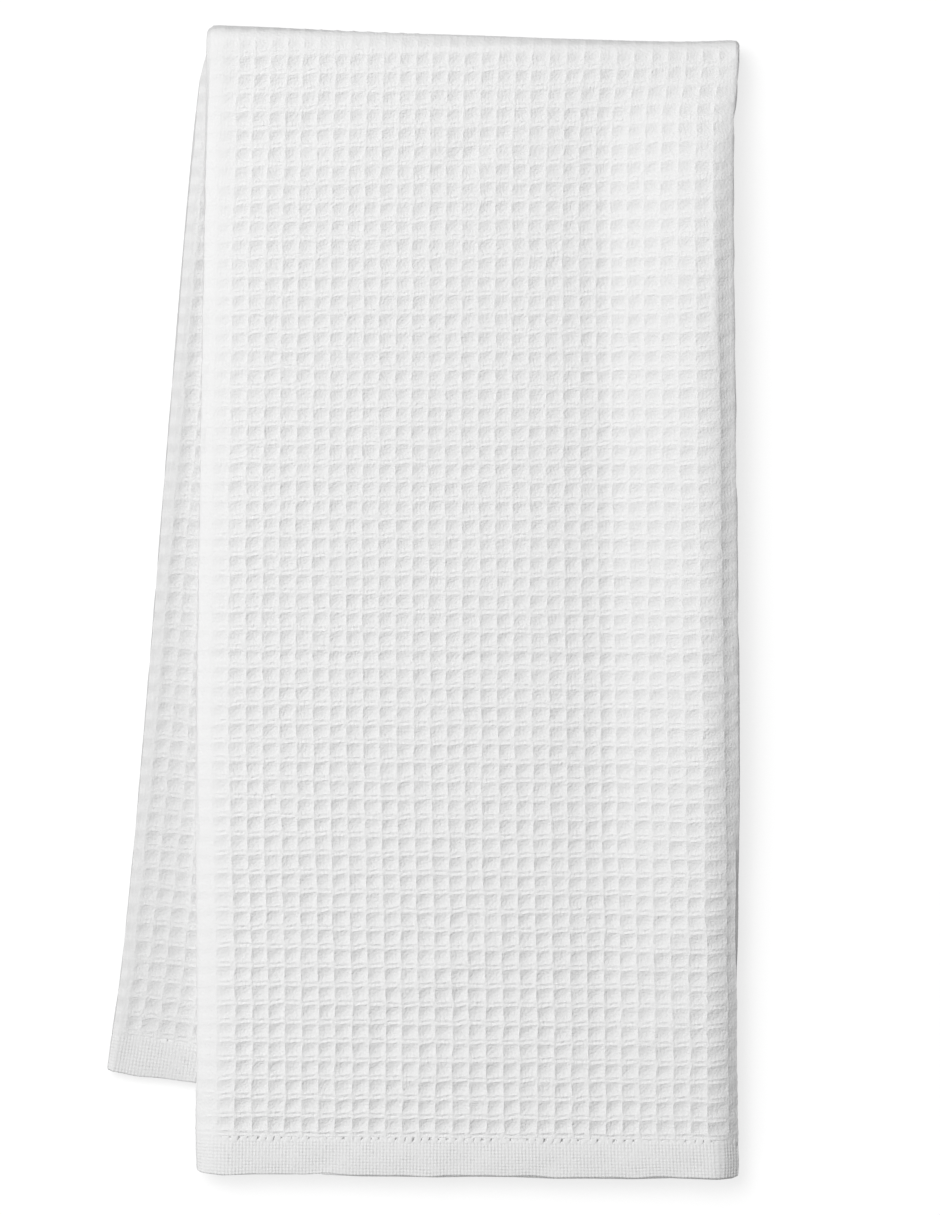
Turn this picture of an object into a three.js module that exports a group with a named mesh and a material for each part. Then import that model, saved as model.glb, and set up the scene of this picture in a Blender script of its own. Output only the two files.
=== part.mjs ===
// A waffle-weave dish towel, folded in three along its length, then folded over once and laid down.
// Millimetres, +Z up. Seen from above, +Y points to the cross fold and the hem is at -Y.
// The whole towel is one cloth: one section of three layers, swept up the front, over and down the back.
import * as THREE from "three";

// The cloth as hemmed and laid out flat
const TOWEL_WIDTH = 508;
const TOWEL_LENGTH = 762;
const CLOTH = 1.9; // thickness over the waffle ridges
const HEM_DEPTH = 13;
const HEM_CLOTH = 1.7; // thickness of the flat turned hem
const STITCH_CLOTH = 1.3; // thickness where the hem's stitching draws it in

// The lengthwise fold: front layer, inner flap, then the outer flap that ends up at the back
const LAYER_GAP = 0.4;
const PITCH = CLOTH + LAYER_GAP;
const PANEL_WIDTH = 187;
const OUTER_FLAP_SHORT = 7; // the outer flap's selvedge stops this far before the right fold
const LEFT_RADIUS = PITCH; // this fold wraps the inner flap
const RIGHT_RADIUS = PITCH / 2;

// The cross fold, laid a little askew, so that the back half swings out to the left
const FRONT_LENGTH = 386.5; // hem to cross fold along the middle of the front
const FOLD_TILT = THREE.MathUtils.degToRad(2.0); // the fold line falls towards the right
const ROW_TILT = THREE.MathUtils.degToRad(0.5); // so does the front hem
const BACK_SWING = THREE.MathUtils.degToRad(4.6);
const BACK_ROW_TILT = 0.08; // extra drop of the back hem for each millimetre to the right
const FRONT_CENTRE = 15.3;
const LOFT = 1.6; // air between the front and back layers
const SLACK = 1.4; // the layers inside the cross fold take a shorter way and reach lower at the back

// Soft shape of the front
const LEFT_ROLL = { width: 26, drop: 1.5 };
const RIGHT_CURL = { width: 8, radius: 8.5 }; // the right fold bends down over the flap's selvedge
const RIGHT_RIDGE = { centre: 78, width: 30 };
const HEM_DROOP = { drop: 5, reach: 33, power: 1.6 }; // the front hem hangs past the back hem

// Half widths, rise of the ridge along the right fold and share of the curl, by height above the hem
const FRONT_SHAPE = [
  { along: 0, left: 94.4, right: 94.3, ridge: 0.2, curl: 0.75 },
  { along: 16, left: 94.0, right: 93.2, ridge: 0.3, curl: 0.85 },
  { along: 62, left: 93.7, right: 92.1, ridge: 0.6, curl: 1 },
  { along: 145, left: 93.7, right: 92.7, ridge: 1.1, curl: 1 },
  { along: 240, left: 92.6, right: 92.1, ridge: 1.2, curl: 1 },
  { along: 335, left: 91.3, right: 90.3, ridge: 0.9, curl: 0.9 },
  { along: 368, left: 90.9, right: 92.0, ridge: 0.4, curl: 0.4 },
  { along: 390, left: 90.7, right: 93.4, ridge: 0, curl: 0 },
];
const BACK_SHAPE = [
  { along: 0, left: 90.7, right: 92.0 },
  { along: 120, left: 92.0, right: 92.4 },
  { along: 250, left: 92.5, right: 92.6 },
  { along: 320, left: 93.6, right: 93.0 },
  { along: 350, left: 94.6, right: 93.4 },
  { along: 368, left: 95.8, right: 94.0 },
];

// Levels of the middle layer, and what follows from the sizes above
const BACK_LEVEL = PITCH + CLOTH / 2;
const FRONT_LEVEL = BACK_LEVEL + 3 * PITCH + LOFT;
const BEND_RADIUS = (FRONT_LEVEL - BACK_LEVEL) / 2;
const HALF_WIDTH = PANEL_WIDTH / 2;
const LEFT_CENTRE = -HALF_WIDTH + LEFT_RADIUS + CLOTH / 2;
const RIGHT_CENTRE = HALF_WIDTH - RIGHT_RADIUS - CLOTH / 2;
const OUTER_FLAP_END = RIGHT_CENTRE - OUTER_FLAP_SHORT;
const FOLD_ARCS = Math.PI * (LEFT_RADIUS + RIGHT_RADIUS);
const FLAT_SPANS = RIGHT_CENTRE - LEFT_CENTRE + OUTER_FLAP_END - LEFT_CENTRE;
const INNER_FLAP_END = RIGHT_CENTRE - (TOWEL_WIDTH - FOLD_ARCS - FLAT_SPANS);

// Steps of the mesh
const PANEL_STEPS = 12;
const CURL_STEPS = 5;
const FOLD_STEPS = { left: 7, right: 5 };
const FRONT_STEPS = { droop: 6, panel: 14 };
const DROOP_ZONE = 0.2; // share of the front that gets the closer steps
const BEND_STEPS = 10;
const BACK_STEPS = 5;

const { clamp, lerp, smoothstep } = THREE.MathUtils;

// A column of a table at a given height, as a smooth curve through its rows.
function tableAt(rows, column, along) {
  const last = rows.length - 2;
  const found = rows.findIndex((row, i) => i > 0 && along < row.along) - 1;
  const i = found < 0 ? (along <= rows[0].along ? 0 : last) : found;
  const [a, b] = [rows[i], rows[i + 1]];
  const [before, after] = [rows[Math.max(i - 1, 0)], rows[Math.min(i + 2, last + 1)]];
  const span = b.along - a.along;
  const t = clamp((along - a.along) / span, 0, 1);
  const slopeA = (span * (b[column] - before[column])) / (b.along - before.along);
  const slopeB = (span * (after[column] - a[column])) / (after.along - a.along);
  const bend = 2 * (a[column] - b[column]) + slopeA + slopeB;
  const ease = 3 * (b[column] - a[column]) - 2 * slopeA - slopeB;
  return ((bend * t + ease) * t + slopeA) * t + a[column];
}

function spaced(from, to, steps) {
  return Array.from({ length: steps + 1 }, (_, i) => lerp(from, to, i / steps));
}

// Where the column at this distance across meets the cross fold, and where it starts at the front hem.
function foldLine(across) {
  return FRONT_LENGTH / 2 - across * Math.tan(FOLD_TILT);
}

function frontHem(across) {
  return -FRONT_LENGTH / 2 - across * Math.tan(ROW_TILT);
}

function backLength(across) {
  const front = foldLine(across) - frontHem(across);
  return TOWEL_LENGTH - front - Math.PI * BEND_RADIUS + SLACK + across * BACK_ROW_TILT;
}

function sideways(rows, across, along) {
  const side = across < 0 ? "left" : "right";
  return (across / HALF_WIDTH) * tableAt(rows, side, along);
}

// How far the front has sunk beyond the edge of the back hem below it.
function hemDroop(across, y) {
  const backHem = foldLine(across) - backLength(across) * Math.cos(BACK_SWING);
  const beyond = clamp((backHem - y) / HEM_DROOP.reach, 0, 1.2);
  return HEM_DROOP.drop * beyond ** HEM_DROOP.power;
}

// The middle layer's surface. Across is the distance from its centre line, and travel runs
// from 0 to 1 up the front, to 2 around the cross fold and to 3 down the back.
function ribbon(across, travel) {
  if (travel <= 1) {
    const y = lerp(frontHem(across), foldLine(across), travel);
    const along = y - frontHem(across);
    const start = HALF_WIDTH - RIGHT_CURL.width;
    const turn = (tableAt(FRONT_SHAPE, "curl", along) * Math.max(across - start, 0)) / RIGHT_CURL.radius;
    const bent = turn > 1e-6 ? Math.sin(turn) / turn : 1;
    const curled = Math.min(across, start) + Math.max(across - start, 0) * bent;
    const fall = turn > 1e-6 ? ((across - start) * (1 - Math.cos(turn))) / turn : 0;
    const rolled = Math.max(-across - HALF_WIDTH + LEFT_ROLL.width, 0) / LEFT_ROLL.width;
    const settled = smoothstep(foldLine(across) - y, 0, 40);
    const offRidge = (across - RIGHT_RIDGE.centre) / RIGHT_RIDGE.width;
    const ridge = tableAt(FRONT_SHAPE, "ridge", along) * Math.exp(-offRidge * offRidge * 2);
    const relief = settled * (ridge - LEFT_ROLL.drop * rolled * rolled);
    const z = FRONT_LEVEL + relief - fall - hemDroop(across, y);
    return new THREE.Vector3(FRONT_CENTRE + sideways(FRONT_SHAPE, curled, along), y, z);
  }
  const width = sideways(FRONT_SHAPE, across, FRONT_LENGTH);
  const foot = new THREE.Vector3(FRONT_CENTRE + width, foldLine(across), FRONT_LEVEL);
  const angle = Math.PI * Math.min(travel - 1, 1);
  const out = BEND_RADIUS * Math.sin(angle);
  foot.x += out * Math.sin(FOLD_TILT);
  foot.y += out * Math.cos(FOLD_TILT);
  foot.z -= BEND_RADIUS * (1 - Math.cos(angle));
  if (travel > 2) {
    const along = (travel - 2) * backLength(across);
    foot.x += sideways(BACK_SHAPE, across, along) - sideways(BACK_SHAPE, across, 0);
    foot.x -= along * Math.sin(BACK_SWING);
    foot.y -= along * Math.cos(BACK_SWING);
  }
  return foot;
}

// A point at a height off the middle layer, square to it.
function offRibbon(across, height, travel) {
  const step = 1e-3;
  const along = ribbon(across, Math.min(travel + step, 3)).sub(ribbon(across, Math.max(travel - step, 0)));
  const sidewise = ribbon(across + step, travel).sub(ribbon(across - step, travel));
  const normal = sidewise.cross(along).normalize();
  return ribbon(across, travel).addScaledVector(normal, height);
}

// Middle line of the folded section: inner flap, right fold, front, left fold, outer flap.
function sectionLine() {
  const columns = [
    ...spaced(LEFT_CENTRE, HALF_WIDTH - RIGHT_CURL.width, PANEL_STEPS),
    ...spaced(HALF_WIDTH - RIGHT_CURL.width, RIGHT_CENTRE, CURL_STEPS).slice(1),
  ];
  const between = (from, to) => [from, ...columns.filter((c) => c > from + 1 && c < to - 1), to];
  const fold = (centre, height, radius, start, steps) =>
    new THREE.EllipseCurve(centre, height, radius, radius, start, start + Math.PI)
      .getPoints(steps)
      .map((p) => ({ at: p, normal: new THREE.Vector2(centre - p.x, height - p.y).divideScalar(radius) }));
  const layer = (from, to, height, up) =>
    between(from, to).map((c) => ({ at: new THREE.Vector2(c, height), normal: new THREE.Vector2(0, up) }));
  return [
    ...layer(INNER_FLAP_END, RIGHT_CENTRE, 0, 1),
    ...fold(RIGHT_CENTRE, RIGHT_RADIUS, RIGHT_RADIUS, -Math.PI / 2, FOLD_STEPS.right).slice(1, -1),
    ...layer(LEFT_CENTRE, RIGHT_CENTRE, PITCH, -1).reverse(),
    ...fold(LEFT_CENTRE, 0, LEFT_RADIUS, Math.PI / 2, FOLD_STEPS.left).slice(1, -1),
    ...layer(LEFT_CENTRE, OUTER_FLAP_END, -PITCH, 1),
  ];
}

// Stations along the cloth, each with its thickness; the hems get their own.
function stations() {
  const hemShare = HEM_DEPTH / FRONT_LENGTH;
  const hem = [
    { from: 0, cloth: HEM_CLOTH },
    { from: 0.86, cloth: HEM_CLOTH },
    { from: 0.93, cloth: STITCH_CLOTH },
    { from: 1.0, cloth: STITCH_CLOTH },
    { from: 1.12, cloth: CLOTH },
  ];
  const front = [
    ...spaced(hemShare * 1.12, DROOP_ZONE, FRONT_STEPS.droop).slice(1),
    ...spaced(DROOP_ZONE, 1, FRONT_STEPS.panel).slice(1),
  ];
  const bend = spaced(1, 2, BEND_STEPS).slice(1);
  const back = spaced(2, 3 - hemShare * 1.12, BACK_STEPS).slice(1, -1);
  return [
    ...hem.map((row) => ({ travel: row.from * hemShare, cloth: row.cloth })),
    ...[...front, ...bend, ...back].map((travel) => ({ travel, cloth: CLOTH })),
    ...hem.map((row) => ({ travel: 3 - row.from * hemShare, cloth: row.cloth })).reverse(),
  ];
}

// The closed outline of the section for a thickness: its outer side, then back along its inner side.
function outline(line, cloth) {
  const side = (s) => line.map((p) => p.at.clone().addScaledVector(p.normal, (s * cloth) / 2));
  return [...side(-1), ...side(1).reverse()];
}

function towelGeometry() {
  const line = sectionLine();
  const rings = stations().map((s) => outline(line, s.cloth).map((p) => offRibbon(p.x, p.y, s.travel)));
  const round = rings[0].length;
  const last = (rings.length - 1) * round;
  const faces = [];
  for (let j = 0; j < rings.length - 1; j += 1) {
    for (let i = 0; i < round; i += 1) {
      const [a, b] = [j * round + i, j * round + ((i + 1) % round)];
      faces.push(a, a + round, b + round, a, b + round, b);
    }
  }
  for (const [a, b, c] of THREE.ShapeUtils.triangulateShape(outline(line, HEM_CLOTH), [])) {
    faces.push(a, b, c, last + a, last + c, last + b);
  }
  const geometry = new THREE.BufferGeometry().setFromPoints(rings.flat());
  geometry.setIndex(faces);
  geometry.computeBoundingBox();
  const box = geometry.boundingBox;
  geometry.translate(-(box.min.x + box.max.x) / 2, -(box.min.y + box.max.y) / 2, -box.min.z);
  geometry.computeVertexNormals();
  return geometry;
}

const cotton = new THREE.MeshStandardMaterial({ color: 0xf1efea, roughness: 0.95 });
const towel = new THREE.Mesh(towelGeometry(), cotton);
towel.name = "towel";

const part = new THREE.Group();
part.name = "dish_towel";
part.add(towel);

export default part;
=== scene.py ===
"""A folded waffle-weave dish towel, seen from straight above on a pale floor.

The cloth is worked out in millimetres and scaled when its meshes are made. Lights and floor are in metres.
"""
import math

import bmesh
import bpy
import numpy as np
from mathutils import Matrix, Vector
from mathutils.geometry import delaunay_2d_cdt


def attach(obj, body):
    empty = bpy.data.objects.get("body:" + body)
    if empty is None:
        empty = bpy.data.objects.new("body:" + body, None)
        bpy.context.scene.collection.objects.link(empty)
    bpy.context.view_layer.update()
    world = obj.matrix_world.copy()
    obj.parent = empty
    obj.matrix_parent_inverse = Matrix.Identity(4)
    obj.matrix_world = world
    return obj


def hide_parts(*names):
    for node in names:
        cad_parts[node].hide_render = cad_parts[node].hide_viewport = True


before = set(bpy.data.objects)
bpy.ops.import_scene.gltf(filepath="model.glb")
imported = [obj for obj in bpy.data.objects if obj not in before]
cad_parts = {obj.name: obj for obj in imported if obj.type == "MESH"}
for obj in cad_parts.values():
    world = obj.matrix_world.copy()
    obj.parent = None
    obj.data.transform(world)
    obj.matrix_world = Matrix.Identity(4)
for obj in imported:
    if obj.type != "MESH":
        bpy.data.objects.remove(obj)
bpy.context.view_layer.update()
MM = 0.001
rng = np.random.default_rng(20)

# The cloth and its folds, in the sizes of the solid
TOWEL_WIDTH = 508.0
TOWEL_LENGTH = 762.0
CLOTH = 1.9
HEM_DEPTH = 14.8
HEM_CLOTH = 1.7
PITCH = CLOTH + 0.4
PANEL_WIDTH = 187.0
OUTER_FLAP_SHORT = 7.0
LEFT_RADIUS = PITCH
RIGHT_RADIUS = PITCH / 2
FRONT_LENGTH = 386.5
FOLD_TILT = math.radians(2.0)
ROW_TILT = math.radians(0.5)
BACK_SWING = math.radians(4.6)
BACK_ROW_TILT = 0.08
FRONT_CENTRE = 15.3
LOFT = 1.6
SLACK = 1.4
BACK_LONGER = 1.2
RIGHT_CURL = {"turn": 0.47, "crease": 1.4, "steps": 12}
RIGHT_FACET = {"start": 47.0, "bend": 6.0, "end": 73.0, "round": 14.0}
FACET_DIP = {"start": 26.0, "bend": 8.0, "end": 41.0, "round": 8.0, "share": 0.2}
HEM_DROOP = {"drop": 1.8, "reach": 33.0, "power": 1.25, "most": 1.2, "left_share": 0.5, "left_width": 30.0}
# How far below the cross fold the front's relief takes to come up to its full height
RELIEF_START = 28.0

# Half widths, slope of the facet along the right fold, share of the curl and its width, by height
FRONT_SHAPE = {
    "along": (0, 16, 62, 145, 240, 335, 364, 378, 390),
    "left": (93.6, 93.1, 92.7, 93.1, 91.8, 90.3, 89.8, 89.6, 89.4),
    "right": (95.9, 94.8, 94.4, 95.0, 94.1, 92.6, 92.6, 94.0, 94.8),
    "facet": (0.03, 0.03, 0.08, 0.20, 0.225, 0.235, 0.165, 0.14, 0.10),
    "curl": (1.3, 1.3, 1.25, 1.12, 1.1, 1.05, 0.85, 0.35, 0.0),
    "band": (9.0, 8.8, 9.3, 10.4, 10.2, 7.8, 5.8, 5.6, 5.4),
}
LEFT_ROLL = {
    "along": (0, 30, 60, 100, 200, 300, 390),
    "width": (13.0, 13.0, 13.0, 13.5, 17.0, 24.0, 25.0),
    "drop": (4.2, 3.8, 3.25, 3.2, 2.95, 2.5, 1.9),
}
# Soft creases in the front: their two ends across and above the hem, rise and half width
CREASES = {
    "from_a": (-86, -28, 60, -1, -13, -27, -35, -16, 60, -79),
    "from_up": (179, 61, 73, 351, 112, 44, 121, 35, 48, 354),
    "to_a": (84, 10, 81, 5, 33, -27, -35, 9, 77, -57),
    "to_up": (177, 80, 87, 356, 158, 61, 185, 40, 58, 357),
    "rise": (-0.22, 0.40, 0.36, -0.5, 0.12, -0.36, -0.12, 0.30, 0.28, -0.6),
    "width": (2.4, 5.0, 4.5, 5.0, 4.0, 4.0, 3.0, 5.0, 5.0, 10.0),
}
BACK_SHAPE = {
    "along": (0, 12, 120, 250, 320, 350, 368),
    "left": (90.7, 92.6, 93.5, 93.8, 95.0, 97.0, 99.3),
    "right": (92.0, 92.0, 92.4, 92.6, 93.0, 93.4, 94.0),
}
# How far the back's left edge lifts, and how far in from the edge, by distance from the cross fold
BACK_LIFT = {
    "along": (0, 30, 60, 100, 150, 200, 260, 310, 340, 370),
    "rise": (0.6, 1.4, 2.1, 2.2, 1.5, 1.0, 0.7, 0.7, 1.2, 1.4),
    "width": (5.0, 6.5, 8.5, 11.0, 10.0, 8.0, 6.0, 6.0, 8.0, 8.0),
    "power": 1.6,
    "start": 20.0,
}
# How far the cross fold stands beyond its straight line, across the front
FOLD_EDGE = {
    "along": (-94, -60, 0, 50, 76, 94),
    "out": (0.6, 0.5, 0.3, 0.3, 0.8, 2.0),
}
# Where the towel's own middle lies in the solid's frame
SET_DOWN = (-1.03, -4.68, 0.0)

BACK_LEVEL = PITCH + CLOTH / 2
FRONT_LEVEL = BACK_LEVEL + 3 * PITCH + LOFT
BEND_RADIUS = (FRONT_LEVEL - BACK_LEVEL) / 2
HALF_WIDTH = PANEL_WIDTH / 2
LEFT_CENTRE = -HALF_WIDTH + LEFT_RADIUS + CLOTH / 2
RIGHT_CENTRE = HALF_WIDTH - RIGHT_RADIUS - CLOTH / 2
FRONT_SPAN = RIGHT_CENTRE - LEFT_CENTRE
OUTER_SPAN = FRONT_SPAN - OUTER_FLAP_SHORT
INNER_SPAN = TOWEL_WIDTH - math.pi * (LEFT_RADIUS + RIGHT_RADIUS) - FRONT_SPAN - OUTER_SPAN

# Where the section's spans end, along the cloth from the inner flap's selvedge
S_RIGHT = INNER_SPAN
S_FRONT = S_RIGHT + math.pi * RIGHT_RADIUS
S_LEFT = S_FRONT + FRONT_SPAN
S_BACK = S_LEFT + math.pi * LEFT_RADIUS

# The weave: its cells, and how the rows and columns wander over the front
ARC = math.pi * (BEND_RADIUS + PITCH)
BACK_LENGTH = TOWEL_LENGTH - FRONT_LENGTH - math.pi * BEND_RADIUS + SLACK
CLOTH_RUN = FRONT_LENGTH + ARC + BACK_LENGTH
ROWS = 115
ROW_PITCH = (CLOTH_RUN - 2 * HEM_DEPTH) / ROWS
COLUMN_PITCH = 5.80
FIRST_RIDGE = S_LEFT - 4.45
CELL_DEPTH = 1.38
ROW_SLANT = 0.10
SLANT_START = 0.1
THREAD_HALF = 0.13
PIT_POWER = 1.15
PIT_BLEND = 3
PIT_LEAST = 1e-3
GROOVE = {"depth": 0.22, "crossing": 0.12, "filled": 0.7, "kept": 0.2, "kept_left": 0.35}
ROW_RELIEF = {"depth": 0.09, "to": 0.30, "left_of": 40.0}
RIDGE_ANGLE = 26.0
LEFT_CORNER = 2.8
RIGHT_CORNER = 1.6
BACK_CORNER = 0.9
FLAP_LONGER = 0.6
HEM_BACK = 0.4
END_REACH = 9.0
HEM_PRESS = {"share": 0.36, "reach": 16.0}
HEM_THINNER = {"by": 0.4, "reach": 5.5, "round": 0.6, "blunt": 0.02}
HEM_FLAT = {"end": 3.0, "stitches": (7.0, 10.3)}
# Soft ripples of the flat hems: height, columns to a ripple, phase and slant per millimetre
HEM_RIPPLES = ((0.09, 2.7, 0.4, 0.12), (0.11, 4.3, 2.1, -0.09), (0.12, 7.1, 3.9, 0.05))
# Slight waves of the two ends of the cloth: height, length and phase
END_WAVES = ((0.22, 61.0, 0.6), (0.16, 23.0, 2.0), (0.10, 14.0, 4.1))
GRAIN = {"scale": 1100.0, "cells": 0.24, "flat": 0.13}
PLAIN_WEAVE = {
    "warp": 5,
    "weft": 5.5,
    "warp_height": 0.09,
    "weft_height": 0.06,
    "patches": 300.0,
    "in_cells": 0.2,
}
PUCKER = {
    "per_column": 2.0,
    "above": 1.2,
    "upper": 1.1,
    "lower": 2.7,
    "shade": 0.14,
    "draw": 0.04,
    "left_share": 0.3,
    "left_fade": (4.0, 22.0),
}
# Slow swells of the groove: share of its depth, turn per column and phase
PUCKER_SWELLS = ((0.35, 1.55, 0.8), (0.25, 0.62, 2.0))
STITCH = {
    "from_selvedge": 2.0,
    "pitch": 3.0,
    "wander": 0.25,
    "lean": 0.25,
    "rise": 4.2,
    "rise_wander": 0.12,
    "slant": 0.9,
    "half_width": 1.52,
    "height": 0.20,
    "tip": 0.05,
    "bow": 0.12,
    "sunk_front": 0.40,
    "sunk_back": 0.48,
    "sunk_wander": 0.03,
    "below": 2.4,
    "past_crease": 0.6,
    "crease_clear": 2.2,
    "sides": 6,
    "rings": 5,
}
# Share of the cells' full depth along the cloth, from the front hem over the fold to the back hem
CELL_SHARE = {
    "along": (0, 100, 200, 300, 386, 430, 600, 780),
    "share": (1.1, 1.02, 0.88, 0.77, 0.69, 0.69, 0.77, 0.82),
}
# Where the cells are drawn flat: by the left edges, the right crease, the facet and the cross fold
FLATTENED = {
    "front_left": (3.0, 16.0),
    "front_least": 0.10,
    "back_left": (1.0, 8.0),
    "back_least": 0.15,
    "crease": (-1.0, 1.5),
    "crease_loss": 0.4,
    "facet": 68.0,
    "facet_width": 16.0,
    "facet_loss": 0.15,
    "right": (-2.0, 4.0),
    "right_least": 0.15,
    "fold": (2.0, 9.0),
    "fold_least": 0.5,
}
# The columns' lean shows between these lattice columns
LEAN_RIGHT = (-33.5, -31.0)
LEAN_LEFT = (9.0, 14.0)
# Rows over which the cells, and the unevenness of their ridges, end at a hem
CELLS_END = (-0.34, -0.18)
UNEVEN_END = (-0.3, 0.3)
SKEW_START = 10.0
COLUMN_LEAN = {
    "along": (0, 44, 92, 144, 237, 295, 337, 381, 420, 780),
    "shift": (0.0, 0.0, -0.7, -1.7, -2.6, -2.6, -2.4, -1.7, -1.0, -1.0),
}
ROW_SKEW = {
    "along": (0, 164, 237, 285, 333, 381, 420, 600, 780),
    "skew": (0.0, 0.0, 0.0044, 0.0087, 0.0157, 0.0244, 0.0244, 0.01, 0.0),
}


def table_at(table, column, along):
    """A column of a table as a smooth curve through its rows, as in the solid."""
    x = np.asarray(table["along"], float)
    y = np.asarray(table[column], float)
    along = np.asarray(along, float)
    i = np.clip(np.searchsorted(x, along, side="right") - 1, 0, len(x) - 2)
    before, after = np.maximum(i - 1, 0), np.minimum(i + 2, len(x) - 1)
    span = x[i + 1] - x[i]
    t = np.clip((along - x[i]) / span, 0, 1)
    slope_a = span * (y[i + 1] - y[before]) / (x[i + 1] - x[before])
    slope_b = span * (y[after] - y[i]) / (x[after] - x[i])
    bend = 2 * (y[i] - y[i + 1]) + slope_a + slope_b
    ease = 3 * (y[i + 1] - y[i]) - 2 * slope_a - slope_b
    return ((bend * t + ease) * t + slope_a) * t + y[i]


def smooth(low, high, x):
    """A step from nothing at low to one at high, level at both ends."""
    t = np.clip((x - low) / (high - low), 0, 1)
    return t * t * (3 - 2 * t)


def fold_line(a):
    """Where the cross fold lies, at a across the front."""
    return FRONT_LENGTH / 2 - a * math.tan(FOLD_TILT) + table_at(FOLD_EDGE, "out", a)


def front_hem(a):
    """Where the front hem lies, at a across the front."""
    return -FRONT_LENGTH / 2 - a * math.tan(ROW_TILT)


def front_length(a):
    """Length of the front from its hem to the cross fold."""
    return fold_line(a) - front_hem(a)


def back_length(a):
    """Length of the back from the cross fold to its hem."""
    straight = TOWEL_LENGTH - front_length(a) - math.pi * BEND_RADIUS + SLACK + a * BACK_ROW_TILT
    return straight + 2 * table_at(FOLD_EDGE, "out", a) + BACK_LONGER


def sideways(table, a, along):
    """Place across, scaled on either side to the table's half widths."""
    reach = np.where(a < 0, table_at(table, "left", along), table_at(table, "right", along))
    return a / HALF_WIDTH * reach


def hem_droop(a, y):
    """How far the front hangs down below the end of the back."""
    back_hem = fold_line(a) - back_length(a) * math.cos(BACK_SWING)
    beyond = np.clip((back_hem - y) / HEM_DROOP["reach"], 0, HEM_DROOP["most"])
    inward = smooth(-HALF_WIDTH, -HALF_WIDTH + HEM_DROOP["left_width"], a)
    share = HEM_DROOP["left_share"] + (1 - HEM_DROOP["left_share"]) * inward
    return share * HEM_DROOP["drop"] * beyond ** HEM_DROOP["power"]


def hinge(x, bend):
    """A line that turns from level to a slope of one within the bend."""
    t = np.clip(x / bend, 0, 1)
    return bend * (t**3 - t**4 / 2) + np.maximum(x - bend, 0)


def facet(a, shape):
    """A slope across the front that starts and ends softly."""
    return hinge(a - shape["start"], shape["bend"]) - hinge(a - shape["end"], shape["round"])


def creases(a, up):
    """Height of the soft creases at a point of the front."""
    height = np.zeros_like(a)
    for a0, up0, a1, up1, rise, width in zip(*CREASES.values()):
        run_a, run_up = a1 - a0, up1 - up0
        share = np.clip(((a - a0) * run_a + (up - up0) * run_up) / (run_a**2 + run_up**2), 0, 1)
        off = np.hypot(a - a0 - share * run_a, up - up0 - share * run_up)
        height += rise * np.exp(-((off / width) ** 2))
    return height


def ribbon(a, travel):
    """The middle layer's surface: up the front to 1, round the cross fold to 2, down the back to 3."""
    up = np.minimum(travel, 1)
    y = front_hem(a) + up * front_length(a)
    along = y - front_hem(a)
    start = HALF_WIDTH - table_at(FRONT_SHAPE, "band", along)
    past = np.maximum(a - start, 0)
    part = (np.arange(RIGHT_CURL["steps"]) + 0.5) / RIGHT_CURL["steps"]
    turn = RIGHT_CURL["turn"] * table_at(FRONT_SHAPE, "curl", along)
    angle = turn[..., None] * smooth(0, RIGHT_CURL["crease"], past[..., None] * part)
    curled = np.minimum(a, start) + past * np.cos(angle).mean(-1)
    fall = past * np.sin(angle).mean(-1)
    width = table_at(LEFT_ROLL, "width", along)
    rolled = np.maximum(-a - HALF_WIDTH + width, 0) / width
    settled = smooth(0, RELIEF_START, fold_line(a) - y)
    raised = facet(a, RIGHT_FACET) - FACET_DIP["share"] * facet(a, FACET_DIP)
    raised = table_at(FRONT_SHAPE, "facet", along) * raised
    relief = settled * (raised - table_at(LEFT_ROLL, "drop", along) * rolled**2) + creases(a, along)
    front = np.stack(
        [
            FRONT_CENTRE + sideways(FRONT_SHAPE, curled, along),
            y,
            FRONT_LEVEL + relief - fall - hem_droop(a, y),
        ],
        -1,
    )
    angle = math.pi * np.clip(travel - 1, 0, 1)
    out = BEND_RADIUS * np.sin(angle)
    down = np.maximum(travel - 2, 0) * back_length(a)
    x = FRONT_CENTRE + sideways(FRONT_SHAPE, a, FRONT_LENGTH) + out * math.sin(FOLD_TILT)
    x += sideways(BACK_SHAPE, a, down) - sideways(BACK_SHAPE, a, 0) - down * math.sin(BACK_SWING)
    inward = np.clip((a + HALF_WIDTH) / table_at(BACK_LIFT, "width", down), 0, 1)
    lifted = table_at(BACK_LIFT, "rise", down) * (1 - inward) ** BACK_LIFT["power"]
    lifted = lifted * smooth(0, BACK_LIFT["start"], down)
    over = np.stack(
        [
            x,
            fold_line(a) + out * math.cos(FOLD_TILT) - down * math.cos(BACK_SWING),
            FRONT_LEVEL - BEND_RADIUS * (1 - np.cos(angle)) + lifted,
        ],
        -1,
    )
    return np.where((travel <= 1)[..., None], front, over)


def off_ribbon(a, h, travel):
    """Points at height h off the middle layer, square to it."""
    step = 1e-3
    along = ribbon(a, travel + step) - ribbon(a, travel - step)
    across = ribbon(a + step, travel) - ribbon(a - step, travel)
    normal = np.cross(across, along)
    normal /= np.linalg.norm(normal, axis=-1, keepdims=True)
    return ribbon(a, travel) + h[..., None] * normal


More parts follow.
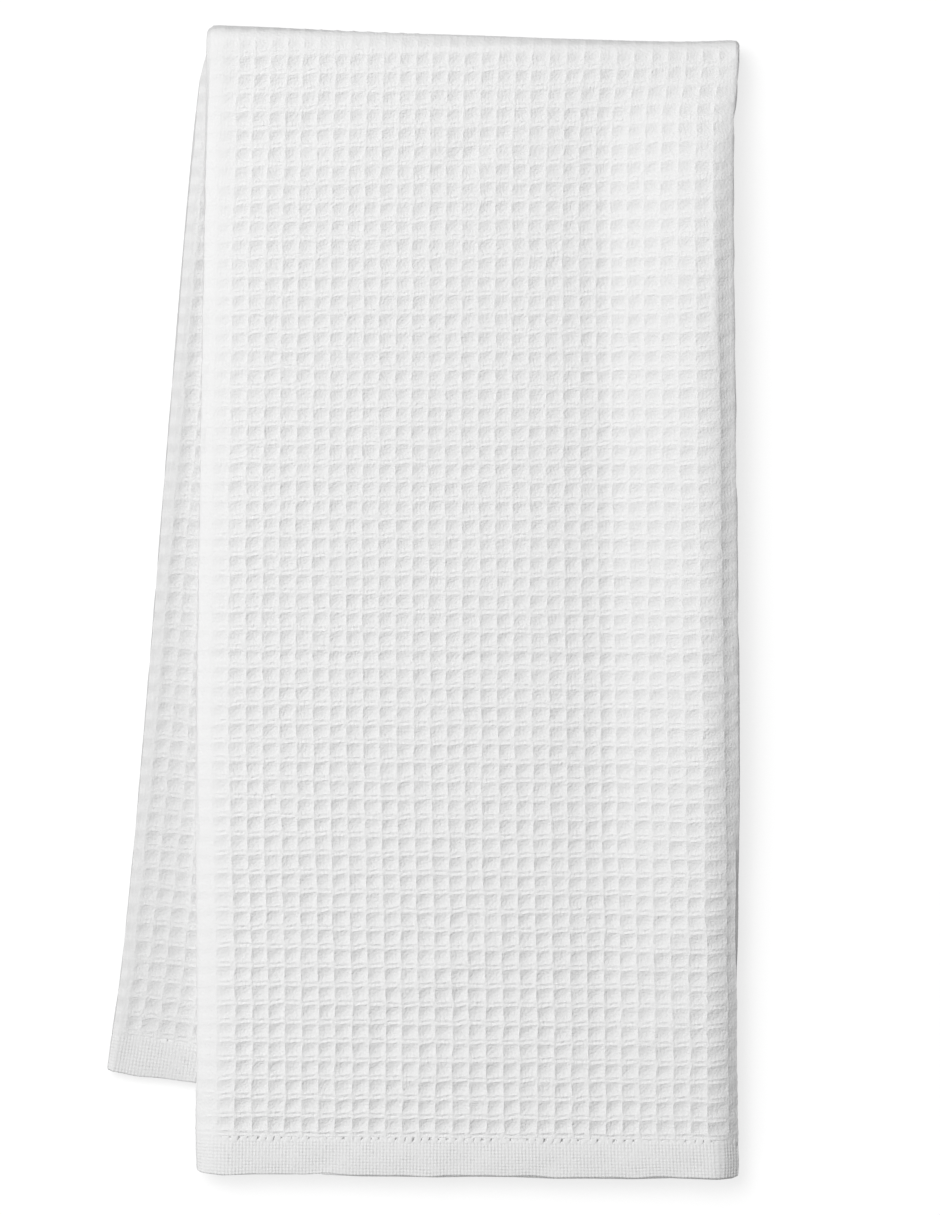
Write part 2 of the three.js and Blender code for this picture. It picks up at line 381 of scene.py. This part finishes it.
def section(s):
    """The folded section's middle line and its normal, towards the inside of the folds."""
    right = -math.pi / 2 + (s - S_RIGHT) / RIGHT_RADIUS
    left = math.pi / 2 + (s - S_LEFT) / LEFT_RADIUS
    spans = [s < S_RIGHT, s < S_FRONT, s < S_LEFT, s < S_BACK]
    a = np.select(
        spans,
        [
            RIGHT_CENTRE - S_RIGHT + s,
            RIGHT_CENTRE + RIGHT_RADIUS * np.cos(right),
            RIGHT_CENTRE - (s - S_FRONT),
            LEFT_CENTRE + LEFT_RADIUS * np.cos(left),
        ],
        LEFT_CENTRE + s - S_BACK,
    )
    flat = np.zeros_like(s)
    h = np.select(
        spans,
        [flat, RIGHT_RADIUS * (1 + np.sin(right)), flat + PITCH, LEFT_RADIUS * np.sin(left)],
        flat - PITCH,
    )
    normal_a = np.select(spans, [flat, -np.cos(right), flat, -np.cos(left)], flat)
    normal_h = np.select(spans, [flat + 1, -np.sin(right), flat - 1, -np.sin(left)], flat + 1)
    return a, h, normal_a, normal_h


def travel_of(a, v):
    """How far along the ribbon a thread at v lies, where the column is at a."""
    front = front_length(a)
    over = 1 + (v - front) / ARC
    back = 2 + (v - front - ARC) / (CLOTH_RUN - front - ARC)
    return np.where(v <= front, v / front, np.where(v <= front + ARC, over, back))


def sheet_points(s, v, depth):
    """Points of the cloth at depth off its middle line: negative on the outer side."""
    a, h, normal_a, normal_h = section(s)
    in_hem = 1 - smooth(0, HEM_PRESS["reach"], np.minimum(v, CLOTH_RUN - v))
    pressed = h * (1 - HEM_PRESS["share"] * in_hem)
    return off_ribbon(a + normal_a * depth, pressed + normal_h * depth, travel_of(a, v))


# The weave's unevenness: where its crossings lie, each cell's depth and the draw of the stitching
JITTER = 0.035
DEPTH_SPREAD = 0.10
LATTICE = (ROWS + 2, 130)
COLUMN_OFFSET = 60
PUCKERS = 400
jitter_u = rng.normal(0, JITTER, LATTICE)
jitter_v = rng.normal(0, JITTER, LATTICE)
cell_depth = rng.normal(1, DEPTH_SPREAD, LATTICE)
pucker_depth = rng.uniform(0, 1, PUCKERS)


def lattice_noise(values, u, v):
    """Values at the weave's crossings, blended over the cells between them."""
    i = np.clip(np.floor(v).astype(int), 0, ROWS)
    j = np.clip(np.floor(u).astype(int) + COLUMN_OFFSET, 0, values.shape[1] - 2)
    fu, fv = u - np.floor(u), np.clip(v - i, 0, 1)
    low = values[i, j] * (1 - fu) + values[i, j + 1] * fu
    high = values[i + 1, j] * (1 - fu) + values[i + 1, j + 1] * fu
    return low * (1 - fv) + high * fv


def slope_in(x):
    """A pit's side: steepest at the ridge, level in the middle of the cell."""
    return 1 - (1 - np.clip(x, 0, 1)) ** PIT_POWER


def waffle(u, v):
    """Depth of the cells below their ridges and of the groove along a ridge, in cell depths."""
    off_u = np.abs(u - np.round(u))
    off_v = np.abs(v - np.round(v))
    side_u = np.maximum(slope_in(off_u / 0.5), PIT_LEAST)
    side_v = np.maximum(slope_in((off_v - THREAD_HALF) / (0.5 - THREAD_HALF)), PIT_LEAST)
    pit = (side_u**-PIT_BLEND + side_v**-PIT_BLEND) ** (-1 / PIT_BLEND)
    crossing = 1 - smooth(0.0, GROOVE["crossing"], off_u)
    groove = GROOVE["depth"] * (1 - smooth(0.0, THREAD_HALF, off_v)) * (1 - GROOVE["filled"] * crossing)
    i = np.clip(np.floor(v).astype(int), 0, ROWS)
    j = np.clip(np.floor(u).astype(int) + COLUMN_OFFSET, 0, cell_depth.shape[1] - 1)
    return pit * cell_depth[i, j], groove


def corner_cut(off, radius):
    """How far a rounded corner draws back at this distance from the edge."""
    inside = np.clip(radius - off, 0, radius)
    return radius - np.sqrt(radius**2 - inside**2)


def end_shift(s, v_run):
    """How far the two ends of the cloth draw back: rounded corners, a slight wave and the longer flaps."""
    a = section(s)[0]
    from_left, from_right = a + HALF_WIDTH - CLOTH / 2, HALF_WIDTH - CLOTH / 2 - a
    wave = sum(size * np.sin(2 * math.pi * a / length + start) for size, length, start in END_WAVES)
    flap = 1 - smooth(S_RIGHT, S_FRONT, s) * (1 - smooth(S_LEFT, S_BACK, s))
    near = corner_cut(from_left, LEFT_CORNER) + corner_cut(from_right, RIGHT_CORNER) + wave
    near = near + HEM_BACK - FLAP_LONGER * flap
    far = corner_cut(from_left, BACK_CORNER) + corner_cut(from_right, BACK_CORNER) + wave
    return near * (1 - smooth(0, END_REACH, v_run)) - far * (1 - smooth(0, END_REACH, CLOTH_RUN - v_run))


def between_hems(row, end):
    """One over the woven rows, falling to nothing at either hem."""
    return smooth(*end, row) * smooth(*end, ROWS - row)


def cloth_at(u, v_run):
    """Position on the cloth (s, v) of the lattice column u at run v_run, with its wander."""
    row = (v_run - HEM_DEPTH) / ROW_PITCH
    woven = between_hems(row, UNEVEN_END)
    lean = table_at(COLUMN_LEAN, "shift", v_run)
    shown = smooth(*LEAN_RIGHT, u) * (1 - smooth(*LEAN_LEFT, u))
    s = FIRST_RIDGE + u * COLUMN_PITCH - lean * shown
    s += woven * lattice_noise(jitter_u, u, row) * COLUMN_PITCH
    s = np.clip(s, 0, TOWEL_WIDTH)
    a = section(s)[0]
    inside = smooth(0, SKEW_START, v_run) * smooth(0, SKEW_START, CLOTH_RUN - v_run)
    v = v_run + table_at(ROW_SKEW, "skew", v_run) * a * inside
    off_ridge = smooth(0.0, SLANT_START, np.abs(u - np.round(u)))
    slant = -ROW_SLANT * (u - np.floor(u) - 0.5) * off_ridge
    v += woven * (lattice_noise(jitter_v, u, row) + slant) * ROW_PITCH
    return s, np.clip(v, 0, CLOTH_RUN) + end_shift(s, v_run)


def eased(least, span, x):
    """A share that grows from its least to one over a span."""
    return least + (1 - least) * smooth(*span, x)


def cell_share(v_run, s):
    """How deep the cells are along the cloth, and how much of that is left where the cloth is drawn flat."""
    flat = FLATTENED
    a = section(s)[0]
    share = table_at(CELL_SHARE, "share", v_run)
    on_front = 1 - smooth(FRONT_LENGTH, FRONT_LENGTH + ARC, v_run)
    from_left = a + HALF_WIDTH
    left = on_front * eased(flat["front_least"], flat["front_left"], from_left)
    left = left + (1 - on_front) * eased(flat["back_least"], flat["back_left"], from_left)
    band = HALF_WIDTH - table_at(FRONT_SHAPE, "band", v_run)
    on_facet = np.exp(-(((a - flat["facet"]) / flat["facet_width"]) ** 2))
    right = 1 - flat["crease_loss"] * smooth(*flat["crease"], a - band)
    right = right * (1 - flat["facet_loss"] * on_facet)
    right = right * eased(flat["right_least"], flat["right"], s - S_FRONT)
    to_fold = np.abs(v_run - front_length(a) - ARC / 3)
    top = eased(flat["fold_least"], flat["fold"], to_fold)
    return share, left * (1 + (right - 1) * on_front) * top


def puckers(u, beside):
    """Depth of the uneven groove that the stitching draws along a hem."""
    place = (u + COLUMN_OFFSET) * PUCKER["per_column"]
    k = np.clip(np.floor(place).astype(int), 0, PUCKERS - 2)
    f = place - k
    fine_draw = pucker_depth[k] * (1 - f) + pucker_depth[k + 1] * f
    slow = 1
    for swell, turn, phase in PUCKER_SWELLS:
        slow = slow + swell * np.sin(u * turn + phase)
    off = beside - PUCKER["above"]
    wide = np.exp(-((off / np.where(off > 0, PUCKER["upper"], PUCKER["lower"])) ** 2))
    return (PUCKER["shade"] * slow + PUCKER["draw"] * fine_draw) * wide


def outer_depth(u, v_run, s, fine):
    """Distance of the outer face from the cloth's middle line."""
    a = section(s)[0]
    row = (v_run - HEM_DEPTH) / ROW_PITCH
    from_end = np.minimum(v_run, CLOTH_RUN - v_run)
    woven = between_hems(row, CELLS_END)
    half = HEM_CLOTH / 2 + (CLOTH - HEM_CLOTH) / 2 * woven
    beside = from_end - HEM_DEPTH + STITCH["below"]
    drawn = eased(PUCKER["left_share"], PUCKER["left_fade"], a + HALF_WIDTH)
    half = half - puckers(u, beside) * drawn * fine
    flat = smooth(0, HEM_FLAT["end"], from_end) * (1 - smooth(*HEM_FLAT["stitches"], from_end)) * fine
    for height, columns, phase, slant in HEM_RIPPLES:
        half = half + height * np.sin(2 * math.pi * u / columns + phase + slant * from_end) * flat
    share, faded = cell_share(v_run, s)
    pit, groove = waffle(u, row)
    on_left = 1 - smooth(0, ROW_RELIEF["left_of"], a)
    on_left = on_left * (1 - smooth(FRONT_LENGTH, FRONT_LENGTH + ARC, v_run))
    from_ridge = np.abs(row - np.round(row))
    rows_only = ROW_RELIEF["depth"] * on_left * smooth(THREAD_HALF, ROW_RELIEF["to"], from_ridge)
    threads = groove * (faded + (GROOVE["kept"] + GROOVE["kept_left"] * on_left) * (1 - faded))
    sunk = share * (pit * faded + threads + rows_only * (1 - faded))
    sunk = CELL_DEPTH * sunk * woven * fine
    half = half - HEM_THINNER["by"] * (1 - smooth(0, HEM_THINNER["reach"], from_end))
    round_end = np.clip(1 - from_end / HEM_THINNER["round"], 0, 1)
    return (half - sunk) * np.sqrt(np.maximum(1 - round_end**2, HEM_THINNER["blunt"]))


# Steps within a cell of the finely meshed patch, its rows in the hems, and its lattice columns
U_STEPS = (0.0, 0.08, 0.34, 0.66, 0.92)
V_STEPS = (0.0, 0.13, 0.24, 0.40, 0.60, 0.76, 0.87)
HEM_ROWS = (0.0, 0.15, 0.45, 1.0, 3.5, 6.5, 9.5, 11.2, 12.1, 12.8, 13.4, 13.95, 14.4)
FRONT_COLUMNS = (-32, 2)
STRIP_COLUMNS = (0, 9)
STRIP_LEAST = 3
PAST_FOLD = 8
FRONT_END = FRONT_LENGTH + ARC + PAST_FOLD

patch_columns = range(FRONT_COLUMNS[0], STRIP_COLUMNS[1])
fine_u = np.array([c + f for c in patch_columns for f in U_STEPS] + [STRIP_COLUMNS[1]])
weave_v = [HEM_DEPTH + (r + f) * ROW_PITCH for r in range(ROWS) for f in V_STEPS]
weave_v = np.array(weave_v + [CLOTH_RUN - HEM_DEPTH])
hem_v = np.array(HEM_ROWS)
fine_v = np.concatenate([hem_v, weave_v, CLOTH_RUN - hem_v[::-1]])
split = int(np.searchsorted(fine_v, FRONT_END))
# The back's visible strip widens down to its hem, in whole columns
down = (np.arange(len(fine_v)) - split) / (len(fine_v) - 1 - split)
strip_end = np.minimum(STRIP_LEAST + np.floor(down * (STRIP_COLUMNS[1] + 1 - STRIP_LEAST)), STRIP_COLUMNS[1])


def in_patch(u, v):
    """Whether a point of the cloth is in the part that is meshed finely."""
    k = np.clip(np.searchsorted(fine_v, v, side="right") - 1, 0, len(fine_v) - 1)
    front = (u > FRONT_COLUMNS[0]) & (u < FRONT_COLUMNS[1]) & (v < fine_v[split])
    strip = (u > STRIP_COLUMNS[0]) & (u < strip_end[k]) & (v >= fine_v[split])
    return front | strip


middle_u, middle_v = np.meshgrid((fine_u[:-1] + fine_u[1:]) / 2, (fine_v[:-1] + fine_v[1:]) / 2)
cell = in_patch(middle_u, middle_v)
is_fine = np.zeros((len(fine_v), len(fine_u)), bool)
for rows_from, columns_from in ((0, 0), (0, 1), (1, 0), (1, 1)):
    is_fine[rows_from : rows_from + cell.shape[0], columns_from : columns_from + cell.shape[1]] |= cell

grid_u, grid_v = np.meshgrid(fine_u, fine_v)
index = np.full(is_fine.shape, -1)
index[is_fine] = np.arange(is_fine.sum())
u_all, v_all = grid_u[is_fine], grid_v[is_fine]
r, c = np.nonzero(cell)
quads = np.stack([index[r, c], index[r + 1, c], index[r + 1, c + 1], index[r, c + 1]], 1)

# Coarse points for the hidden parts of the outer side, in lattice columns and run
u_low, u_high = -FIRST_RIDGE / COLUMN_PITCH, (TOWEL_WIDTH - FIRST_RIDGE) / COLUMN_PITCH
COARSE_HEM = (0.0, 0.15, 0.45, 1.0, 6.5, 12.0, HEM_DEPTH)
COARSE_LINES = {"front": 28, "bend": 17, "back": 27}
BEND_MARGIN = 5
BEND_START = FRONT_LENGTH - BEND_MARGIN
BEND_END = FRONT_LENGTH + ARC + BEND_MARGIN


def run_lines():
    """Lines across the cloth at which the hidden parts are meshed."""
    front = np.linspace(HEM_DEPTH, BEND_START, COARSE_LINES["front"])[1:]
    bend = np.linspace(BEND_START, BEND_END, COARSE_LINES["bend"])[1:]
    back = np.linspace(BEND_END, CLOTH_RUN - HEM_DEPTH, COARSE_LINES["back"])[1:-1]
    return np.concatenate([COARSE_HEM, front, bend, back, CLOTH_RUN - np.array(COARSE_HEM)[::-1]])


def column_of(s):
    """The lattice column at s along the folded section."""
    return (np.asarray(s) - FIRST_RIDGE) / COLUMN_PITCH


# Lines along the cloth at which the hidden parts are meshed, closer together at the folds
s_lines = np.concatenate(
    [
        np.linspace(0, S_RIGHT - 9, 11),
        np.linspace(S_RIGHT - 7, S_FRONT + 8, 13),
        np.linspace(S_FRONT + 10, S_LEFT - 24, 11),
        np.linspace(S_LEFT - 18, S_LEFT, 4),
        np.linspace(S_LEFT, S_BACK, 9)[1:],
        np.linspace(S_BACK + 6, TOWEL_WIDTH - 14, 14),
        np.linspace(TOWEL_WIDTH - 9, TOWEL_WIDTH, 5),
    ]
)
u_lines = column_of(s_lines)
v_lines = run_lines()
coarse_u, coarse_v = (g.ravel() for g in np.meshgrid(u_lines, v_lines))
# How far the coarse points keep from the fine patch
GAP = 1.2


def near_fine(u, v):
    """Whether a coarse point lies in the fine patch or too near it."""
    offsets = [(du, dv) for du in (-GAP, 0, GAP) for dv in (-GAP, 0, GAP)]
    return np.any([in_patch(u + du / COLUMN_PITCH, v + dv) for du, dv in offsets], 0)


keep = ~near_fine(coarse_u, coarse_v)
coarse_u, coarse_v = coarse_u[keep], coarse_v[keep]

# The fine patch's own edge, as the chain of edges that only one quad uses
edges = {}
for quad in quads.tolist():
    for p, q in zip(quad, quad[1:] + quad[:1]):
        edges[(p, q)] = True
rim = [(p, q) for p, q in edges if (q, p) not in edges]
rim_points = sorted({p for e in rim for p in e})
place = {p: i for i, p in enumerate(rim_points)}
flat_u = np.concatenate([u_all[rim_points], coarse_u])
flat_v = np.concatenate([v_all[rim_points], coarse_v])
points = [Vector((float(u) * COLUMN_PITCH, float(v))) for u, v in zip(flat_u, flat_v)]
ALL_TRIANGLES, SAME_POINT = 0, 1e-6
rim_edges = [(place[p], place[q]) for p, q in rim]
found = delaunay_2d_cdt(points, rim_edges, [], ALL_TRIANGLES, SAME_POINT)
ids = list(rim_points) + [len(u_all) + i for i in range(len(coarse_u))]
if len(found[0]) != len(points):
    raise ValueError("the coarse part of the cloth has points that meet")
order = [o[0] for o in found[3]]
mid_u = np.array([np.mean([flat_u[order[i]] for i in f]) for f in found[2]])
mid_v = np.array([np.mean([flat_v[order[i]] for i in f]) for f in found[2]])
inside_patch = in_patch(mid_u, mid_v)
patches = [[ids[order[i]] for i in f] for f, inside in zip(found[2], inside_patch) if not inside]
outer_u = np.concatenate([u_all, coarse_u])
outer_v = np.concatenate([v_all, coarse_v])
fine_share = np.concatenate([np.ones(len(u_all)), np.zeros(len(coarse_u))])


def turned(faces, u, v):
    """The faces, all the same way round in the cloth's own plane."""
    out = []
    for f in faces:
        x, y = u[f], v[f]
        area = np.sum(x * np.roll(y, -1) - np.roll(x, -1) * y)
        out.append(list(f) if area > 0 else list(f)[::-1])
    return out


outer_faces = turned(quads.tolist() + patches, outer_u, outer_v)
outer_s, outer_run = cloth_at(outer_u, outer_v)
outer_s = np.where(fine_share > 0, outer_s, np.clip(FIRST_RIDGE + outer_u * COLUMN_PITCH, 0, TOWEL_WIDTH))
outer = sheet_points(outer_s, outer_run, -outer_depth(outer_u, outer_v, outer_s, fine_share))

# The inner side, hidden in the folds
inner_u, inner_v = (g.ravel() for g in np.meshgrid(u_lines, v_lines))
wide, long = len(u_lines), len(v_lines)
inner_s = np.clip(FIRST_RIDGE + inner_u * COLUMN_PITCH, 0, TOWEL_WIDTH)
inner_run = inner_v + end_shift(inner_s, inner_v)
inner = sheet_points(inner_s, inner_run, outer_depth(inner_u, inner_v, inner_s, 0.0))
base = len(outer)
inner_faces = []
for j in range(long - 1):
    for i in range(wide - 1):
        k = base + j * wide + i
        inner_faces.append([k, k + wide, k + wide + 1, k + 1])


def zipped(low, high, at):
    """Triangles between two chains of vertices that run the same way."""
    faces, i, j = [], 0, 0
    while i < len(low) - 1 or j < len(high) - 1:
        if j == len(high) - 1 or (i < len(low) - 1 and at[low[i + 1]] <= at[high[j + 1]]):
            faces.append([low[i], low[i + 1], high[j]])
            i += 1
        else:
            faces.append([low[i], high[j + 1], high[j]])
            j += 1
    return faces


all_u = np.concatenate([outer_u, inner_u])
all_v = np.concatenate([outer_v, inner_v])
rims = []
EDGE = 1e-4
for at, other, value, flip in (
    (all_v, all_u, 0.0, False),
    (all_v, all_u, CLOTH_RUN, True),
    (all_u, all_v, u_low, True),
    (all_u, all_v, u_high, False),
):
    on = np.nonzero(np.abs(at - value) < EDGE)[0]
    on = on[np.argsort(other[on], kind="stable")]
    faces = zipped(on[on < base].tolist(), on[on >= base].tolist(), other)
    rims += [f[::-1] if flip else f for f in faces]

vertices = np.concatenate([outer, inner])
faces = outer_faces + inner_faces + rims

shift = np.array(SET_DOWN)
vertices = (vertices + shift) * MM

mesh = bpy.data.meshes.new("waffle_towel")
mesh.from_pydata(vertices.tolist(), [], faces)
mesh.validate()
mesh.update()
towel = bpy.data.objects.new("waffle_towel", mesh)
bpy.context.collection.objects.link(towel)
for p in mesh.polygons:
    p.use_smooth = True
mesh.set_sharp_from_angle(angle=math.radians(RIDGE_ANGLE))

weave = mesh.attributes.new("weave", "FLOAT_VECTOR", "POINT")
row = (all_v - HEM_DEPTH) / ROW_PITCH
woven = between_hems(row, CELLS_END)
cells = woven * cell_share(all_v, np.concatenate([outer_s, inner_s]))[1]
weave.data.foreach_set("vector", np.stack([all_u, row, cells], 1).astype(np.float32).ravel())
# The 'sunk' attribute is painted shade for the cells' pits. It follows the pits' depth on the outer side, in
# full on the back and as far as the cells are drawn on the front.
sunk = mesh.attributes.new("sunk", "FLOAT", "POINT")
painted_pit_shade_share = np.where(all_v > FRONT_LENGTH + ARC, woven, cells) * (np.arange(len(row)) < base)
sunk.data.foreach_set("value", (painted_pit_shade_share * waffle(all_u, row)[0]).astype(np.float32))
plain = mesh.attributes.new("plain", "FLOAT", "POINT")
plain_share = PLAIN_WEAVE["in_cells"] + (1 - PLAIN_WEAVE["in_cells"]) * (1 - woven)
plain.data.foreach_set("value", plain_share.astype(np.float32))


def cotton(name, ridge, floor):
    """Matt cotton, with painted shade darkening the base colour down into the cells' pits, a plain weave on
    the hems and a grain in the cells.
    """
    made = bpy.data.materials.new(name)
    made.use_nodes = True
    tree = made.node_tree
    shader = tree.nodes["Principled BSDF"]
    shader.inputs["Base Color"].default_value = (ridge, ridge, ridge, 1)
    shader.inputs["Roughness"].default_value = 0.92
    shader.inputs["Specular IOR Level"].default_value = 0.2
    shader.inputs["Sheen Weight"].default_value = 0.15
    shader.inputs["Sheen Roughness"].default_value = 0.5

    def calc(operation, first, second=None):
        step = tree.nodes.new("ShaderNodeMath")
        step.operation = operation
        for socket, value in zip(step.inputs, (first, second)):
            if isinstance(value, (int, float)):
                socket.default_value = value
            elif value is not None:
                tree.links.new(value, socket)
        return step.outputs[0]

    spot = tree.nodes.new("ShaderNodeTexCoord")
    grain = tree.nodes.new("ShaderNodeTexNoise")
    grain.inputs["Scale"].default_value = GRAIN["scale"]
    grain.inputs["Detail"].default_value = 1.0
    tree.links.new(spot.outputs["Object"], grain.inputs["Vector"])
    lattice = tree.nodes.new("ShaderNodeAttribute")
    lattice.attribute_name = "weave"
    axes = tree.nodes.new("ShaderNodeSeparateXYZ")
    tree.links.new(lattice.outputs["Vector"], axes.inputs[0])
    across, along, cells = axes.outputs
    sunk = tree.nodes.new("ShaderNodeAttribute")
    sunk.attribute_name = "sunk"
    # Painted shade: the base colour falls from the ridge colour to the floor colour as the 'sunk' attribute
    # goes down into a pit.
    pit_shaded_colour = calc("SUBTRACT", ridge, calc("MULTIPLY", sunk.outputs["Fac"], ridge - floor))
    grey = tree.nodes.new("ShaderNodeCombineColor")
    for socket in grey.inputs:
        tree.links.new(pit_shaded_colour, socket)
    tree.links.new(grey.outputs["Color"], shader.inputs["Base Color"])
    plain = tree.nodes.new("ShaderNodeAttribute")
    plain.attribute_name = "plain"
    warp = calc("SINE", calc("MULTIPLY", across, 2 * math.pi * PLAIN_WEAVE["warp"]))
    weft = calc("SINE", calc("MULTIPLY", along, 2 * math.pi * PLAIN_WEAVE["weft"]))
    warp = calc("MULTIPLY", warp, PLAIN_WEAVE["warp_height"])
    threads = calc("ADD", warp, calc("MULTIPLY", weft, PLAIN_WEAVE["weft_height"]))
    uneven = tree.nodes.new("ShaderNodeTexNoise")
    uneven.inputs["Scale"].default_value = PLAIN_WEAVE["patches"]
    uneven.inputs["Detail"].default_value = 1.0
    tree.links.new(spot.outputs["Object"], uneven.inputs["Vector"])
    threads = calc("MULTIPLY", threads, calc("MULTIPLY", plain.outputs["Fac"], uneven.outputs["Fac"]))
    fuzz = calc("ADD", calc("MULTIPLY", cells, GRAIN["cells"]), GRAIN["flat"])
    fuzz = calc("MULTIPLY", grain.outputs["Fac"], fuzz)
    bump = tree.nodes.new("ShaderNodeBump")
    bump.inputs["Strength"].default_value = 1.0
    bump.inputs["Distance"].default_value = MM
    tree.links.new(calc("ADD", threads, fuzz), bump.inputs["Height"])
    tree.links.new(bump.outputs["Normal"], shader.inputs["Normal"])
    return made


material = cotton("waffle_cotton", ridge=0.868, floor=0.76)
mesh.materials.append(material)
# The back's copy of the cotton is darker all over. This is painted shade on the strip of the back that shows
# beside the front, not a different cloth colour.
mesh.materials.append(cotton("waffle_cotton_back_painted_shade", ridge=0.80, floor=0.71))
back_in_painted_shade = np.array([min(all_v[f]) >= FRONT_LENGTH + ARC / 2 for f in faces])
mesh.polygons.foreach_set("material_index", back_in_painted_shade.astype(np.int32))

# A row of whipped stitches along both hems, each a flat bundle of threads
sides, rings = STITCH["sides"], STITCH["rings"]
ring = 2 * math.pi * np.arange(sides) / sides
step = np.linspace(-0.5, 0.5, rings)
count = int((TOWEL_WIDTH - 2 * STITCH["from_selvedge"]) / STITCH["pitch"])
stitch_points, stitch_faces = [], []
for from_start in (True, False):
    for k in range(count):
        s = STITCH["from_selvedge"] + (k + 0.5) * STITCH["pitch"] + rng.normal(0, STITCH["wander"])
        s = s + step * rng.normal(-STITCH["slant"], STITCH["lean"])
        v = HEM_DEPTH - STITCH["below"] + step * STITCH["rise"] + rng.normal(0, STITCH["rise_wander"])
        v = v if from_start else CLOTH_RUN - v
        v = v + end_shift(s, v)
        taper = np.where(step > 0, 1.0, np.sqrt(np.maximum(1 - (2 * step) ** 4, STITCH["tip"])))
        lift = HEM_CLOTH / 2 - STITCH["sunk_front" if from_start else "sunk_back"]
        lift = lift + rng.normal(0, STITCH["sunk_wander"]) + STITCH["bow"] * np.cos(math.pi * step)
        # None shows at the crease along the right edge of the front hem
        past_crease = section(s)[0] - HALF_WIDTH + FRONT_SHAPE["band"][1] - STITCH["past_crease"]
        if from_start and np.any(np.abs(past_crease) < STITCH["crease_clear"]):
            continue
        tube = [
            sheet_points(
                s + STITCH["half_width"] * taper * math.cos(w),
                v,
                -(lift + STITCH["height"] * taper * math.sin(w)),
            )
            for w in ring
        ]
        first = len(stitch_points) * sides * rings
        stitch_points.append(np.stack(tube, 1).reshape(-1, 3))
        for m in range(rings - 1):
            for q in range(sides):
                k0, k1 = first + m * sides + q, first + m * sides + (q + 1) % sides
                stitch_faces.append([k0, k1, k1 + sides, k0 + sides])
        stitch_faces.append([first + q for q in range(sides)][::-1])
        stitch_faces.append([first + (rings - 1) * sides + q for q in range(sides)])
thread_mesh = bpy.data.meshes.new("hem_stitching")
thread_mesh.from_pydata(((np.concatenate(stitch_points) + shift) * MM).tolist(), [], stitch_faces)
thread_mesh.validate()
shell = bmesh.new()
shell.from_mesh(thread_mesh)
bmesh.ops.recalc_face_normals(shell, faces=shell.faces)
shell.to_mesh(thread_mesh)
shell.free()
thread_mesh.update()
for p in thread_mesh.polygons:
    p.use_smooth = True
stitching = bpy.data.objects.new("hem_stitching", thread_mesh)
bpy.context.collection.objects.link(stitching)
thread_mesh.materials.append(material)
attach(stitching, "root")

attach(towel, "root")
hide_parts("towel")

FLOOR_SIZE = 24


def floor_plane(name, drop, colour, glow):
    """A plain floor a little below the towel, with a glow of its own."""
    bpy.ops.mesh.primitive_plane_add(size=FLOOR_SIZE, location=(0, 0, -drop))
    plane = bpy.context.object
    plane.name = name
    paper = bpy.data.materials.new(name)
    paper.use_nodes = True
    shader = paper.node_tree.nodes["Principled BSDF"]
    shader.inputs["Base Color"].default_value = (colour, colour, colour, 1)
    shader.inputs["Roughness"].default_value = 0.9
    shader.inputs["Specular IOR Level"].default_value = 0.1
    shader.inputs["Emission Color"].default_value = (1, 1, 1, 1)
    shader.inputs["Emission Strength"].default_value = glow
    plane.data.materials.append(paper)
    return plane


# The glowing floor is what the camera sees; the dull one below it is what lights the cloth's edges
floor = floor_plane("floor", drop=0.0003, colour=0.34, glow=0.73)
floor.visible_diffuse = False
under = floor_plane("floor_under", drop=0.0006, colour=0.75, glow=0.0)
under.visible_camera = False

world = bpy.data.worlds.new("studio")
world.use_nodes = True
world.node_tree.nodes["Background"].inputs["Color"].default_value = (1, 1, 1, 1)
world.node_tree.nodes["Background"].inputs["Strength"].default_value = 0.24
bpy.context.scene.world = world


def area_light(name, position, size, power):
    """A square light that looks at the middle of the floor."""
    data = bpy.data.lights.new(name, "AREA")
    data.shape = "SQUARE"
    data.size = size
    data.energy = power
    lamp = bpy.data.objects.new(name, data)
    lamp.location = position
    lamp.rotation_euler = (-Vector(position)).to_track_quat("-Z", "Y").to_euler()
    bpy.context.collection.objects.link(lamp)


area_light("key", (-0.71, 0.77, 1.83), size=1.4, power=34)
area_light("overhead", (0, 0, 1.6), size=1.6, power=1.85)
area_light("side", (-1.1, -0.8, 0.85), size=0.9, power=3.4)

# The camera looks straight down from a distance, with the towel's middle where the photo has it
PX_PER_MM = 2.904
IMAGE = (940, 1215)
TOWEL_MIDDLE = (424, 603)
CAMERA_DISTANCE = 1800.0
TOWEL_TOP = 15.0
camera = bpy.data.cameras.new("camera")
camera.sensor_fit = "VERTICAL"
camera.sensor_height = 36
camera.lens = camera.sensor_height * CAMERA_DISTANCE / (IMAGE[1] / PX_PER_MM)
camera.clip_start = 0.05
camera.clip_end = 50
eye = bpy.data.objects.new("camera", camera)
eye.location = (
    (IMAGE[0] / 2 - TOWEL_MIDDLE[0]) / PX_PER_MM * MM,
    (TOWEL_MIDDLE[1] - IMAGE[1] / 2) / PX_PER_MM * MM,
    (CAMERA_DISTANCE + TOWEL_TOP) * MM,
)
bpy.context.collection.objects.link(eye)
bpy.context.scene.camera = eye
bpy.context.scene.view_settings.view_transform = "Standard"
bpy.context.scene.view_settings.look = "None"
